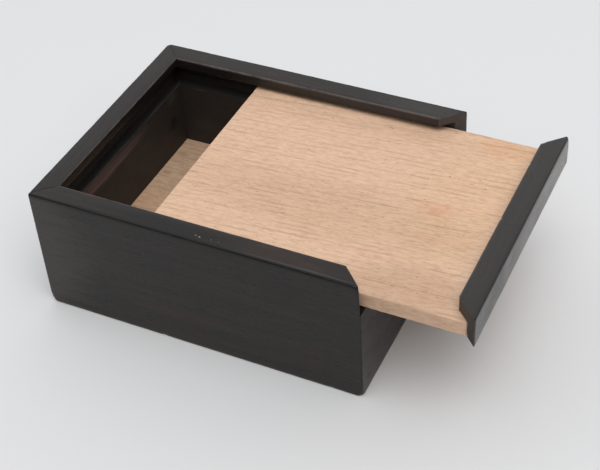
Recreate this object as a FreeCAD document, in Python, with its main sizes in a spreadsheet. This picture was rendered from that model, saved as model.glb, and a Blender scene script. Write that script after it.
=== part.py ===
"""Sliding lid wooden box: four mitred walls, a bottom panel and a lid with a pull strip.

Frame: X runs along the slide, +X out of the open end; Y runs across; Z is up.
The origin is the centre of the rectangle that the box stands on. Sizes are in mm.
Left and right are as seen by someone who faces the open end, so left is -Y.
The lid is drawn part of the way out, by lid_open.
"""

import FreeCAD, Part
import math
import os
import re

import Sketcher

Vector = FreeCAD.Vector

SIZES = {
    "box_length": 127.0,  # outside, along the slide
    "box_width": 101.6,  # outside, across the slide
    "box_height": 52.3,  # from the table to the rim
    "wall_thickness": 8.4,
    "corner_round": 1.0,  # upright outer corners
    "foot_round": 0.6,  # outer edge at the table
    "rim_round": 0.6,  # outer edge at the rim
    "edge_ease": 0.3,  # edges that are only taken off with fine paper
    "groove_depth": 4.8,  # both grooves, into a wall's inner face
    "lid_thickness": 6.0,
    "lid_drop": 6.1,  # from the rim down to the lid panel
    "lid_edge_round": 0.45,  # top edges of the lid panel, but for the strip's end
    "lid_open": 38.6,  # how far the lid is drawn out
    "strip_height": 12.4,  # from the rim down
    "skirt_thickness": 3.8,  # the strip's part in front of the panel's end
    "floor_thickness": 6.0,
    "floor_lift": 6.3,  # from the table up to the bottom panel
    "floor_play": 0.4,  # bottom panel to the bottom of its groove, all round
    "side_play": 0.3,  # lid panel to the bottom of its groove, both sides
    "end_play": 0.3,  # closed lid panel to the back wall's groove
    "top_play": 2.3,  # above the lid panel in its groove
    "under_play": 0.2,  # below the lid panel in its groove
    "mitre_play": 0.4,  # shorter strip at each end, so that its mitres clear
    "kerf": 0.3,  # strip to front wall, closed lid
}

LID_TOP = "box_height - lid_drop"
LID_UNDERSIDE = "box_height - lid_drop - lid_thickness"
PANEL_INSET = "wall_thickness - groove_depth"

PAST = 2.0  # how far a cutting outline runs past the face that it cuts
NEAR = 0.001  # two places closer than this are the same place


def make_sheet(doc):
    """The spreadsheet whose cells every sub-part's sizes are bound to."""
    sheet = doc.addObject("Spreadsheet::Sheet", "Sizes")
    for row, (name, value) in enumerate(SIZES.items(), start=1):
        sheet.set(f"A{row}", name)
        sheet.set(f"B{row}", str(value))
        sheet.setAlias(f"B{row}", name)
    doc.recompute()
    return sheet


def bound(formula):
    """The formula with each size's name turned into a reference to its cell."""
    return re.sub(r"[a-z_]+", lambda name: f"Sizes.{name.group()}", formula)


def make_body(doc, label, x="0", y="0", z="0", turn=0):
    """An empty body, turned about Z in degrees and moved to the given formulas."""
    body = doc.addObject("PartDesign::Body", label)
    body.Label = label
    body.Placement.Rotation = FreeCAD.Rotation(Vector(0, 0, 1), turn)
    for axis, formula in (("x", x), ("y", y), ("z", z)):
        body.setExpression(f"Placement.Base.{axis}", bound(formula))
    return body


def make_sketch(body, name, plane):
    """An empty sketch on one of the body's own origin planes."""
    sketch = body.newObject("Sketcher::SketchObject", name)
    support = [o for o in body.Origin.OriginFeatures if o.Role == plane]
    sketch.AttachmentSupport = [(support[0], "")]
    sketch.MapMode = "FlatFace"
    return sketch


def set_size(sketch, constraint, formula):
    """Adds a dimension to the sketch and binds it to the sheet."""
    index = sketch.addConstraint(constraint)
    sketch.setExpression(f"Constraints[{index}]", bound(formula))


def join_ends(sketch, edges):
    """Joins each edge's end to the start of the next, all the way round."""
    for edge, following in zip(edges, edges[1:] + edges[:1]):
        sketch.addConstraint(Sketcher.Constraint("Coincident", edge, 2, following, 1))


def draw_rectangle(sketch, left, right, low, high):
    """A rectangle whose sides are the given formulas from the sketch's origin.

    It is drawn one unit wide, and its dimensions then bring it to size.
    """
    corners = [Vector(1, 1, 0), Vector(2, 1, 0), Vector(2, 2, 0), Vector(1, 2, 0)]
    edges = [
        sketch.addGeometry(Part.LineSegment(start, end))
        for start, end in zip(corners, corners[1:] + corners[:1])
    ]
    join_ends(sketch, edges)
    for edge in (edges[0], edges[2]):
        sketch.addConstraint(Sketcher.Constraint("Horizontal", edge))
    for edge in (edges[1], edges[3]):
        sketch.addConstraint(Sketcher.Constraint("Vertical", edge))
    for kind, edge, formula in (
        ("DistanceX", edges[3], left),
        ("DistanceX", edges[1], right),
        ("DistanceY", edges[0], low),
        ("DistanceY", edges[2], high),
    ):
        set_size(sketch, Sketcher.Constraint(kind, -1, 1, edge, 1, 1.0), formula)


def draw_mitred_plan(sketch, run):
    """A wall's plan: outer face on the X axis and both ends mitred.

    The plan is centred on the Y axis. It is drawn at a rough size, and its
    dimensions then bring it to the sheet's sizes.
    """
    half = 50.0
    deep = 8.0
    corners = [
        Vector(-half, 0, 0),
        Vector(half, 0, 0),
        Vector(half - deep, deep, 0),
        Vector(deep - half, deep, 0),
    ]
    edges = [
        sketch.addGeometry(Part.LineSegment(start, end))
        for start, end in zip(corners, corners[1:] + corners[:1])
    ]
    join_ends(sketch, edges)
    outer, right_mitre, inner = edges[:3]
    for constraint in (
        Sketcher.Constraint("PointOnObject", outer, 1, -1),
        Sketcher.Constraint("Symmetric", outer, 1, outer, 2, -2),
        Sketcher.Constraint("Symmetric", inner, 1, inner, 2, -2),
        Sketcher.Constraint("Angle", right_mitre, 3 * math.pi / 4),
    ):
        sketch.addConstraint(constraint)
    set_size(
        sketch,
        Sketcher.Constraint("DistanceX", outer, 1, outer, 2, 2 * half),
        run,
    )
    set_size(
        sketch,
        Sketcher.Constraint("DistanceY", -1, 1, inner, 1, deep),
        "wall_thickness",
    )


def draw_corner_cut(sketch, run, side):
    """What is taken off one upright corner of a wall, outside the corner's arc.

    The arc runs from the outer face to the mitre, as the two walls of a corner meet
    on its diagonal. The rest of the outline lies past the wall. Side is 1 for the
    corner at +X and -1 for the other. It is drawn at a rough size, like the plan.
    """
    half = 50.0
    arc = 2.0
    slant = arc * math.sqrt(0.5)
    far = half + PAST
    start_angle = -math.pi / 2 if side > 0 else -3 * math.pi / 4
    curve = sketch.addGeometry(
        Part.ArcOfCircle(
            Part.Circle(Vector(side * (half - arc), arc, 0), Vector(0, 0, 1), arc),
            start_angle,
            start_angle + math.pi / 4,
        )
    )
    at_face, at_mitre = (1, 2) if side > 0 else (2, 1)
    places = [
        Vector(side * (half - arc + slant), arc - slant, 0),
        Vector(side * far, arc - slant, 0),
        Vector(side * far, -PAST, 0),
        Vector(side * (half - arc), -PAST, 0),
        Vector(side * (half - arc), 0, 0),
    ]
    lines = [
        sketch.addGeometry(Part.LineSegment(start, end))
        for start, end in zip(places, places[1:])
    ]
    for line, following in zip(lines, lines[1:]):
        sketch.addConstraint(Sketcher.Constraint("Coincident", line, 2, following, 1))
    for constraint in (
        Sketcher.Constraint("Coincident", curve, at_mitre, lines[0], 1),
        Sketcher.Constraint("Coincident", curve, at_face, lines[3], 2),
        Sketcher.Constraint("Horizontal", lines[0]),
        Sketcher.Constraint("Vertical", lines[1]),
        Sketcher.Constraint("Horizontal", lines[2]),
        Sketcher.Constraint("Vertical", lines[3]),
        Sketcher.Constraint("Vertical", curve, 3, curve, at_face),
    ):
        sketch.addConstraint(constraint)
    set_size(sketch, Sketcher.Constraint("Radius", curve, arc), "corner_round")
    for kind, edge, point, formula in (
        ("DistanceX", curve, 3, f"{side} * (({run}) / 2 - corner_round)"),
        ("DistanceY", curve, 3, "corner_round"),
        ("DistanceY", curve, at_mitre, f"corner_round * {1 - math.sqrt(0.5)}"),
        ("DistanceX", lines[0], 2, f"{side} * (({run}) / 2 + {PAST})"),
        ("DistanceY", lines[1], 2, f"-{PAST}"),
    ):
        set_size(sketch, Sketcher.Constraint(kind, -1, 1, edge, point, 1.0), formula)


def pad(body, sketch, height):
    """Raises the sketch by the given formula."""
    feature = body.newObject("PartDesign::Pad", "Stock")
    feature.Profile = sketch
    feature.setExpression("Length", bound(height))


def cut_through(body, sketch, name):
    """Cuts the sketch right through the body, both ways from its plane."""
    body.Document.recompute()
    before = body.Shape.Volume
    feature = body.newObject("PartDesign::Pocket", name)
    feature.Profile = sketch
    feature.Type = "ThroughAll"
    feature.SideType = "Symmetric"
    body.Document.recompute()
    if body.Shape.Volume > before - NEAR:
        raise RuntimeError(f"{body.Label}: {sketch.Label} cuts nothing")


def round_edges(body, name, radius, wanted):
    """Rounds the edges of the body's last feature that wanted(edge) picks."""
    body.Document.recompute()
    base = body.Tip
    edges = [
        f"Edge{number}"
        for number, edge in enumerate(base.Shape.Edges, start=1)
        if wanted(edge)
    ]
    feature = body.newObject("PartDesign::Fillet", name)
    feature.Base = (base, edges)
    feature.setExpression("Radius", bound(radius))
    body.Document.recompute()


def lies_at(edge, **places):
    """Whether every end of the edge has the given coordinates, such as z=0."""
    return all(
        abs(getattr(vertex.Point, axis) - place) < NEAR
        for vertex in edge.Vertexes
        for axis, place in places.items()
    )


def is_level(edge):
    """Whether the edge's ends are at one height."""
    start, end = edge.Vertexes
    return abs(start.Point.z - end.Point.z) < NEAR


def is_above(edge, height):
    """Whether the edge's ends are both above the height."""
    return all(vertex.Point.z > height + NEAR for vertex in edge.Vertexes)


def round_corners(body, run):
    """Rounds the two upright outer corners of a wall of the given length."""
    section = make_sketch(body, "CornerSection", "XY_Plane")
    for side in (1, -1):
        draw_corner_cut(section, run, side)
    cut_through(body, section, "CornerRound")


def make_wall(doc, label, run, height, grooves, rim="rim_round", **place):
    """A mitred wall, lying along X with its outer face at y = 0.

    Each groove is a pair of formulas, its lower and its upper side. It runs out
    through both mitres, where it meets the next wall's groove. The wall's top outer
    edge is rounded by rim, and the edges of its inner face above the floor are eased.
    """
    body = make_body(doc, label, **place)
    plan = make_sketch(body, "Plan", "XY_Plane")
    draw_mitred_plan(plan, run)
    pad(body, plan, height)
    section = make_sketch(body, "GrooveSection", "YZ_Plane")
    for low, high in grooves:
        draw_rectangle(section, PANEL_INSET, f"wall_thickness + {PAST}", low, high)
    cut_through(body, section, "Grooves")
    top = body.Shape.BoundBox.ZMax - body.Placement.Base.z
    round_edges(body, "FootRound", "foot_round", lambda e: lies_at(e, y=0, z=0))
    round_edges(body, "RimRound", rim, lambda e: lies_at(e, y=0, z=top))
    inside = SIZES["wall_thickness"]
    floor = SIZES["floor_lift"] + SIZES["floor_thickness"]
    round_edges(
        body,
        "InnerEase",
        "edge_ease",
        lambda e: lies_at(e, y=inside) and is_level(e) and is_above(e, floor),
    )
    round_corners(body, run)


def make_walls(doc):
    """The four walls, each turned so that its outer face looks outwards."""
    lid_groove = (f"{LID_UNDERSIDE} - under_play", f"{LID_TOP} + top_play")
    floor_groove = ("floor_lift", "floor_lift + floor_thickness")
    both = (lid_groove, floor_groove)
    make_wall(
        doc, "left_wall", "box_length", "box_height", both, y="-box_width / 2"
    )
    make_wall(
        doc,
        "right_wall",
        "box_length",
        "box_height",
        both,
        y="box_width / 2",
        turn=180,
    )
    make_wall(
        doc,
        "back_wall",
        "box_width",
        "box_height",
        both,
        x="-box_length / 2",
        turn=-90,
    )
    make_wall(
        doc,
        "front_wall",
        "box_width",
        "box_height - strip_height - kerf",
        (floor_groove,),
        rim="edge_ease",
        x="box_length / 2",
        turn=90,
    )


def make_panel(doc, label, left, right, low, high, thickness, **place):
    """A plain flat panel with its underside at z = 0."""
    body = make_body(doc, label, **place)
    outline = make_sketch(body, "Outline", "XY_Plane")
    draw_rectangle(outline, left, right, low, high)
    pad(body, outline, thickness)
    return body


def make_bottom_panel(doc):
    """The bottom panel, loose in the groove all round so that it can swell."""
    inset = f"{PANEL_INSET} + floor_play"
    make_panel(
        doc,
        "bottom_panel",
        f"-box_length / 2 + {inset}",
        f"box_length / 2 - ({inset})",
        f"-box_width / 2 + {inset}",
        f"box_width / 2 - ({inset})",
        "floor_thickness",
        z="floor_lift",
    )


def make_lid_panel(doc):
    """The lid panel, its top edges rounded but for the end that the strip covers."""
    body = make_panel(
        doc,
        "lid_panel",
        f"-box_length / 2 + {PANEL_INSET} + end_play",
        "box_length / 2 - skirt_thickness",
        f"-box_width / 2 + {PANEL_INSET} + side_play",
        f"box_width / 2 - ({PANEL_INSET} + side_play)",
        "lid_thickness",
        x="lid_open",
        z=LID_UNDERSIDE,
    )
    top = SIZES["lid_thickness"]
    strip_end = SIZES["box_length"] / 2 - SIZES["skirt_thickness"]
    round_edges(
        body,
        "EdgeRound",
        "lid_edge_round",
        lambda e: lies_at(e, z=top) and not lies_at(e, x=strip_end),
    )


def make_lid_strip(doc):
    """The strip across the lid's end: a lip above the panel and a skirt before it."""
    body = make_body(
        doc,
        "lid_strip",
        x="box_length / 2 + lid_open",
        z="box_height - strip_height",
        turn=90,
    )
    run = "box_width - 2 * mitre_play"
    plan = make_sketch(body, "Plan", "XY_Plane")
    draw_mitred_plan(plan, run)
    pad(body, plan, "strip_height")
    rebate = make_sketch(body, "RebateSection", "YZ_Plane")
    draw_rectangle(
        rebate,
        "skirt_thickness",
        f"wall_thickness + {PAST}",
        f"-{PAST}",
        "strip_height - lid_drop",
    )
    cut_through(body, rebate, "Rebate")
    top = SIZES["strip_height"]
    inside = SIZES["wall_thickness"]
    round_edges(body, "RimRound", "rim_round", lambda e: lies_at(e, y=0, z=top))
    round_edges(body, "KerfEase", "edge_ease", lambda e: lies_at(e, y=0, z=0))
    round_edges(body, "InnerEase", "edge_ease", lambda e: lies_at(e, y=inside, z=top))
    round_corners(body, run)


def check(doc):
    """Stops the script if a feature failed or a sub-part's shape is unsound."""
    for item in doc.Objects:
        if "Invalid" in item.State or "Error" in item.State:
            raise RuntimeError(f"{item.Label} failed: {item.State}")
    for body in doc.findObjects("PartDesign::Body"):
        shape = body.Shape
        if shape.isNull() or not shape.isValid() or len(shape.Solids) != 1:
            raise RuntimeError(f"{body.Label} isn't one sound solid")


def write(doc):
    """Writes each sub-part to parts, in a STEP file of its own name."""
    os.makedirs("parts", exist_ok=True)
    for body in doc.findObjects("PartDesign::Body"):
        body.Shape.exportStep(f"parts/{body.Label}.step")
        print(body.Label, round(body.Shape.Volume), "mm3")


document = FreeCAD.newDocument("SlidingLidBox")
make_sheet(document)
make_walls(document)
make_bottom_panel(document)
make_lid_panel(document)
make_lid_strip(document)
document.recompute()
check(document)
write(document)
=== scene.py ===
"""Sliding lid wooden box: near-black hardwood walls and strip, pale wood lid and bottom.

Metres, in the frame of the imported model: X runs along the slide, +X out of the open
end, Y runs across, Z is up from the table. The lid stands part of the way open.
"""

import math
import random

import bmesh
import bpy
from mathutils import Matrix, Vector, noise


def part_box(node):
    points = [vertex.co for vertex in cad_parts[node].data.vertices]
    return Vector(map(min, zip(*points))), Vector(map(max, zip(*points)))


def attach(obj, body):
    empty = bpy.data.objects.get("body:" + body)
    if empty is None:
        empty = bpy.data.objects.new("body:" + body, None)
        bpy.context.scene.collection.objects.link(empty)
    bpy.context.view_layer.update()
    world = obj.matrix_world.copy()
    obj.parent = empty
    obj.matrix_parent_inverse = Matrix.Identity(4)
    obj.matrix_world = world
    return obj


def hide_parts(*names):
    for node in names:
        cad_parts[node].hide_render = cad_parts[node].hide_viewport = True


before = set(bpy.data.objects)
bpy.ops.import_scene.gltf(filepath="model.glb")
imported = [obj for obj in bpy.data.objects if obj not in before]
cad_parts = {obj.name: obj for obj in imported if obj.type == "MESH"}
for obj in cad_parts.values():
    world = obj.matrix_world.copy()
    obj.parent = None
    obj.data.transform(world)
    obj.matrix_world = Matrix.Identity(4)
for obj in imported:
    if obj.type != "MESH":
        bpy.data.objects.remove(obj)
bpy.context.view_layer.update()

MM = 0.001

# ---------------------------------------------------------------- camera
# Stands before the near long wall, a little past the open end, and looks down into
# the box. It is held slightly out of level. Angles are in radians.

LOOK_AT = Vector((18.2, -2.7, 20.35)) * MM
VIEW_AZIMUTH = 0.4830
VIEW_ELEVATION = 0.7250
VIEW_ROLL = -0.0670
VIEW_DISTANCE = 490.7 * MM
SENSOR_WIDTH = 36
LENS_LENGTH = 79.64

back = Vector(
    (
        math.sin(VIEW_AZIMUTH) * math.cos(VIEW_ELEVATION),
        -math.cos(VIEW_AZIMUTH) * math.cos(VIEW_ELEVATION),
        math.sin(VIEW_ELEVATION),
    )
)
across = Vector((math.cos(VIEW_AZIMUTH), math.sin(VIEW_AZIMUTH), 0))
turned = Matrix.Rotation(VIEW_ROLL, 3, back) @ across
camera = bpy.data.objects.new("camera", bpy.data.cameras.new("camera"))
camera.data.sensor_width = SENSOR_WIDTH
camera.data.lens = LENS_LENGTH
camera.data.clip_start = 10 * MM
camera.matrix_world = (
    Matrix.Translation(LOOK_AT + back * VIEW_DISTANCE)
    @ Matrix((turned, back.cross(turned), back)).transposed().to_4x4()
)
bpy.context.scene.collection.objects.link(camera)
bpy.context.scene.camera = camera

# ---------------------------------------------------------------- light
# A large soft lamp hangs over the camera's side, and the pale wall behind the box
# lights it from the back. The room is dim behind the camera.

TOWARDS_LAMP = Vector((0.29, -0.35, 0.89)).normalized()
LAMP_DISTANCE = 4.0
LAMP_SIZE = 4.1
LAMP_POWER = 129.0
TOWARDS_BRIGHT_WALL = Vector((-0.65, 0.75, 0.14)).normalized()
BRIGHT_WALL = 0.93
BRIGHT_WALL_FADE = 0.75
ROOM_COLOUR = (0.985, 0.99, 1.0, 1)


def add(tree, kind, inputs=(), **settings):
    """Adds a node. Its inputs are values, or sockets of other nodes to link."""
    node = tree.nodes.new(kind)
    for name, value in settings.items():
        setattr(node, name, value)
    for name, value in dict(inputs).items():
        if isinstance(value, bpy.types.NodeSocket):
            tree.links.new(value, node.inputs[name])
        else:
            node.inputs[name].default_value = value
    return node


def ranged(tree, value, low, high, to_low=0.0, to_high=1.0, curve="SMOOTHSTEP"):
    """Maps a value from one range to another and clamps it to that one."""
    return add(
        tree,
        "ShaderNodeMapRange",
        {
            "Value": value,
            "From Min": low,
            "From Max": high,
            "To Min": to_low,
            "To Max": to_high,
        },
        interpolation_type=curve,
    ).outputs["Result"]


lamp = bpy.data.objects.new("soft_lamp", bpy.data.lights.new("soft_lamp", "AREA"))
lamp.data.shape = "SQUARE"
lamp.data.size = LAMP_SIZE
lamp.data.energy = LAMP_POWER
lamp.location = TOWARDS_LAMP * LAMP_DISTANCE
lamp.rotation_euler = TOWARDS_LAMP.to_track_quat("Z", "Y").to_euler()
bpy.context.scene.collection.objects.link(lamp)

room = bpy.data.worlds.new("room")
room.use_nodes = True
room.node_tree.nodes.clear()
direction = add(room.node_tree, "ShaderNodeTexCoord").outputs["Generated"]
facing = add(
    room.node_tree,
    "ShaderNodeVectorMath",
    {0: direction, 1: TOWARDS_BRIGHT_WALL},
    operation="DOT_PRODUCT",
).outputs["Value"]
brightness = ranged(
    room.node_tree, facing, -BRIGHT_WALL_FADE, BRIGHT_WALL_FADE, to_high=BRIGHT_WALL
)
room_light = add(
    room.node_tree,
    "ShaderNodeBackground",
    {"Color": ROOM_COLOUR, "Strength": brightness},
)
add(
    room.node_tree,
    "ShaderNodeOutputWorld",
    {"Surface": room_light.outputs["Background"]},
)
bpy.context.scene.world = room
bpy.context.scene.view_settings.view_transform = "Standard"

# ---------------------------------------------------------------- table
# A plain pale matt surface that the box stands on. It isn't part of the object.

TABLE_HALF = 5.0
TABLE_COLOUR = (0.738, 0.742, 0.748, 1)

table_mesh = bpy.data.meshes.new("table")
table_mesh.from_pydata(
    [(x * TABLE_HALF, y * TABLE_HALF, 0) for x, y in ((-1, -1), (1, -1), (1, 1), (-1, 1))],
    [],
    [(0, 1, 2, 3)],
)
table = bpy.data.objects.new("table", table_mesh)
bpy.context.scene.collection.objects.link(table)
table_finish = bpy.data.materials.new("pale_table")
table_finish.use_nodes = True
table_shader = table_finish.node_tree.nodes["Principled BSDF"]
table_shader.inputs["Base Color"].default_value = TABLE_COLOUR
table_shader.inputs["Roughness"].default_value = 0.7
table_shader.inputs["Specular IOR Level"].default_value = 0.2
table_mesh.materials.append(table_finish)

# ---------------------------------------------------------------- left wall
# The near long wall: one board of near-black hardwood, its ends mitred and glued to
# the back and front walls. The lid runs in the upper groove of its inner face and
# the bottom panel sits in the lower one. Edges are rounded by hand with fine paper.

left_low, left_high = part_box("left_wall")
floor_low, floor_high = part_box("bottom_panel")
lid_low, lid_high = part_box("lid_panel")
WALL_BACK_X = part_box("back_wall")[0].x
WALL_FRONT_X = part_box("front_wall")[1].x
BOX_LENGTH = WALL_FRONT_X - WALL_BACK_X
BOX_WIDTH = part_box("right_wall")[1].y - left_low.y
BOX_HEIGHT = left_high.z
NEAR_Y = -BOX_WIDTH / 2
WALL = left_high.y - left_low.y
FRONT_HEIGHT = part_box("front_wall")[1].z
GROOVE_DEPTH = 4.8 * MM
LID_PLAY_BELOW = 0.2 * MM
LID_PLAY_ABOVE = 2.3 * MM
LID_GROOVE = (lid_low.z - LID_PLAY_BELOW, lid_high.z + LID_PLAY_ABOVE)
FLOOR_GROOVE = (floor_low.z, floor_high.z)

CORNER_ROUND = 0.6 * MM  # an upright corner half-way up
FOOT_CORNER = 2.6 * MM  # the same corner at its foot
CORNER_REACH = 5.5 * MM  # how far from its foot and its top it widens
LEFT_OPEN_CORNER = 3.0 * MM  # what hands rubbed its top to, at the open end
FOOT_ROUND = 0.6 * MM
RIM_ROUND = 0.6 * MM
EDGE_EASE = 0.3 * MM  # an edge that fine paper has gone over
SILL_EASE = 0.12 * MM  # the lower lip of the lid's groove
INNER_FOOT_EASE = 0.15 * MM
SAWN_EDGE = 0.1 * MM  # an edge as the saw left it
OPEN_EASE = 0.3 * MM  # the edge of a mitre that stands free
SEAM_EASE = 0.015 * MM  # the hairline of a glued one
EDGE_FADE = 0.6 * MM  # how far beside an edge its wear fades

SANDED = 0.03 * MM  # how unevenly the faces are sanded, over SANDED_SPAN
SANDED_SPAN = 22 * MM
SOFT = 0.10 * MM  # how unevenly the edges are rounded, over SOFT_SPAN
SOFT_SPAN = 7 * MM
FINE = 0.05 * MM  # and how finely they are worn, over FINE_SPAN
FINE_SPAN = 1.6 * MM
WORN_FROM = 0.02  # edge values up to this count as flat
RAW_FROM = 0.35 * WALL  # the inner face and its grooves lie deeper than this
RAW_MARGIN = 0.2 * MM  # the raw face ends this far from its foot and its top

FLAT_STEP = 2.4 * MM  # spacing of the mesh around a board, away from its corners
RUN_STEP = 0.7 * MM  # and along it, away from its ends
BESIDE_CORNER = (0.35 * MM, 0.9 * MM, 1.7 * MM)
END_ARC = (0, 35, 60, 90)
BESIDE_END = (0.15, 0.3, 0.5, 0.7, 0.95, 1.2, 1.5, 1.8, 2.2, 2.7)
SHARP_ANGLE = math.radians(40)


def split(length, step):
    """Distances along a straight stretch: close together near both its ends."""
    close = [x for x in BESIDE_CORNER if x < 0.4 * length]
    start = close[-1] if close else 0.0
    count = max(1, round((length - 2 * start) / step))
    middle = [start + (length - 2 * start) * i / count for i in range(1, count)]
    return close + middle + [length - x for x in reversed(close)]


def arc_parts(radius):
    """How many straight parts a quarter round of this radius is made of."""
    if radius < 0.2 * MM:
        return 2
    return 3 if radius < 0.6 * MM else 6


def rounded_outline(corners, step=FLAT_STEP):
    """A board's section with its corners rounded, as (depth, height, edge) points.

    Each corner is (depth, height, radius, worn). All corners are square. The edge value is
    worn on the rounding itself and falls off beside it: above zero where hands rub the edge
    pale, below zero where the edge is painted dark, as a painted reflection of the dim room.
    """
    points = []
    for index, (depth, height, radius, worn) in enumerate(corners):
        corner = Vector((depth, height))
        before = corners[index - 1]
        after = corners[(index + 1) % len(corners)]
        to_before = (Vector(before[:2]) - corner).normalized()
        to_after = (Vector(after[:2]) - corner).normalized()
        parts = arc_parts(radius)
        for part in range(parts + 1):
            angle = math.pi / 2 * part / parts
            place = corner + radius * (
                (1 - math.cos(angle)) * to_after + (1 - math.sin(angle)) * to_before
            )
            points.append((place.x, place.y, worn))
        start = corner + radius * to_after
        end = Vector(after[:2]) - after[2] * to_after
        length = (end - start).length
        for run in split(length, step):
            place = start + run * to_after
            edge = max(
                worn * math.exp(-run / EDGE_FADE),
                after[3] * math.exp(-(length - run) / EDGE_FADE),
                key=abs,
            )
            points.append((place.x, place.y, edge))
    return points


def outward(points):
    """The outward normal at each point of an outline that runs clockwise."""
    normals = []
    for index in range(len(points)):
        before = Vector(points[index - 1][:2])
        after = Vector(points[(index + 1) % len(points)][:2])
        along = (after - before).normalized()
        normals.append(Vector((-along.y, along.x)))
    return normals


def end_distances(half, ease, arc, beside, step):
    """Distances from a board's end to its middle: its rounded edge, then the flat.

    arc holds angles on the rounding, in degrees. beside holds the first distances
    past it, in millimetres, and step is the spacing after them.
    """
    near = [ease * (1 - math.cos(math.radians(angle))) for angle in arc]
    near += [ease + x * MM for x in beside]
    rest = half - near[-1]
    count = round(rest / step)
    return near + [near[-1] + rest * i / count for i in range(1, count + 1)]


def fall_back(distance, radius):
    """How far a rounded edge lies behind the flat, as a share of its radius."""
    if distance >= radius:
        return 0.0
    return 1 - math.sqrt(1 - (1 - distance / radius) ** 2)


def hills(place, span, shift=(0, 0, 0)):
    """Smooth noise from 0 to 1, with hills about as wide as span."""
    return 0.5 + 0.5 * noise.noise(place / span + Vector(shift))


def hand_worn(place, edge, dents):
    """How far the surface lies below the planed one: sanding, soft edges and dents."""
    worn = SANDED * hills(place, SANDED_SPAN)
    edge = abs(edge)
    if edge > WORN_FROM:
        soft = SOFT * hills(place, SOFT_SPAN, (3, 1, 7))
        worn += edge * (soft + FINE * hills(place, FINE_SPAN))
    for centre, radius, deep in dents:
        if abs(place.x - centre.x) < radius:
            near = (place - centre).length / radius
            if near < 1:
                worn += deep * (1 - near * near) ** 2
    return worn


def cut_section(outline):
    """Cuts a section into triangles, each given by three point numbers."""
    shape = bmesh.new()
    shape.faces.new([shape.verts.new((p[0] / MM, p[1] / MM, 0)) for p in outline])
    shape.verts.index_update()
    bmesh.ops.triangulate(shape, faces=shape.faces)
    triangles = [tuple(vert.index for vert in face.verts) for face in shape.faces]
    shape.free()
    return triangles


def make_mesh(name, outline, rings, states):
    """Joins rings of points to a closed mesh, flat at both ends, and links it.

    Each point's state is (edge, raw). The mesh keeps it as the vector "finish" with
    the end faces' own (0, 0, 1), so that the material can tell end grain apart.
    """
    size = len(outline)
    faces = []
    for ring in range(len(rings) - 1):
        for index in range(size):
            following = (index + 1) % size
            faces.append(
                (
                    ring * size + index,
                    ring * size + following,
                    (ring + 1) * size + following,
                    (ring + 1) * size + index,
                )
            )
    first_end_face = len(faces)
    last_ring = (len(rings) - 1) * size
    for triangle in cut_section(outline):
        faces.append(tuple(reversed(triangle)))
        faces.append(tuple(last_ring + index for index in triangle))
    mesh = bpy.data.meshes.new(name)
    mesh.from_pydata([point for ring in rings for point in ring], [], faces)
    shape = bmesh.new()
    shape.from_mesh(mesh)
    bmesh.ops.recalc_face_normals(shape, faces=shape.faces)
    shape.to_mesh(mesh)
    shape.free()
    flat_states = [state for ring in states for state in ring]
    finish = mesh.attributes.new("finish", "FLOAT_VECTOR", "CORNER")
    for face in mesh.polygons:
        for loop in face.loop_indices:
            if face.index >= first_end_face:
                finish.data[loop].vector = (0, 0, 1)
            else:
                edge, raw = flat_states[mesh.loops[loop].vertex_index]
                finish.data[loop].vector = (edge, raw, 0)
    mesh.shade_smooth()
    mesh.set_sharp_from_angle(angle=SHARP_ANGLE)
    piece = bpy.data.objects.new(name, mesh)
    bpy.context.scene.collection.objects.link(piece)
    return piece


def corner_radius(height, top, rubbed_to):
    """The radius of a board's upright corner: wider at the foot and a rubbed top."""
    foot = max(0.0, 1 - height / CORNER_REACH)
    rim = max(0.0, 1 - (top - height) / CORNER_REACH)
    radius = CORNER_ROUND + (FOOT_CORNER - CORNER_ROUND) * foot**2
    return radius + max(0.0, rubbed_to - CORNER_ROUND) * rim**2


def bend_round(beside, depth, radius):
    """Bends a point near an upright corner onto its rounding.

    beside and depth are its distances from the board's end and its outer face.
    """
    if beside >= radius or depth >= radius:
        return beside, depth
    bend = radius - depth
    angle = math.pi / 4 * (radius - beside) / bend
    return radius - bend * math.sin(angle), radius - bend * math.cos(angle)


def mitred_board(name, run, outline, into_place, glued_below, raw_below, dents, rubbed):
    """A board with mitred ends and round upright corners, laid along X.

    into_place turns (x, depth, z) into the frame. The end edges below glued_below
    are glued and only show a hairline, and those above it are eased. The inner faces
    up to raw_below are left raw from the saw and plane. rubbed gives the radius that
    the upright corner at either end, -1 or 1, has worn to at its top.
    """
    half = run / 2
    normals = outward(outline)
    distances = end_distances(half, OPEN_EASE, END_ARC, BESIDE_END, RUN_STEP)
    stations = [(-1, x) for x in distances] + [(1, x) for x in reversed(distances[:-1])]
    foot = min(height for _, height, _ in outline)
    top = max(height for _, height, _ in outline)
    raw_top = min(top, raw_below) - RAW_MARGIN
    rings, states = [], []
    for side, from_end in stations:
        ring, ring_states = [], []
        for (depth, height, edge), normal in zip(outline, normals):
            inside = depth > RAW_FROM and foot + RAW_MARGIN < height < raw_top
            ease = SEAM_EASE
            if height > glued_below:
                ease = OPEN_EASE
                edge = max(edge, math.exp(-from_end / EDGE_FADE), key=abs)
            inset = ease * fall_back(from_end, OPEN_EASE)
            x = side * (half - from_end)
            inset += hand_worn(into_place(x, depth, height), edge, dents)
            depth -= inset * normal.x
            height -= inset * normal.y
            beside = depth + from_end * (half - depth) / half
            radius = corner_radius(height, top, rubbed.get(side, 0.0))
            beside, depth = bend_round(beside, depth, radius)
            ring.append(into_place(side * (half - beside), depth, height))
            ring_states.append((edge, float(inside)))
        rings.append(ring)
        states.append(ring_states)
    return make_mesh(name, outline, rings, states)


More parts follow.
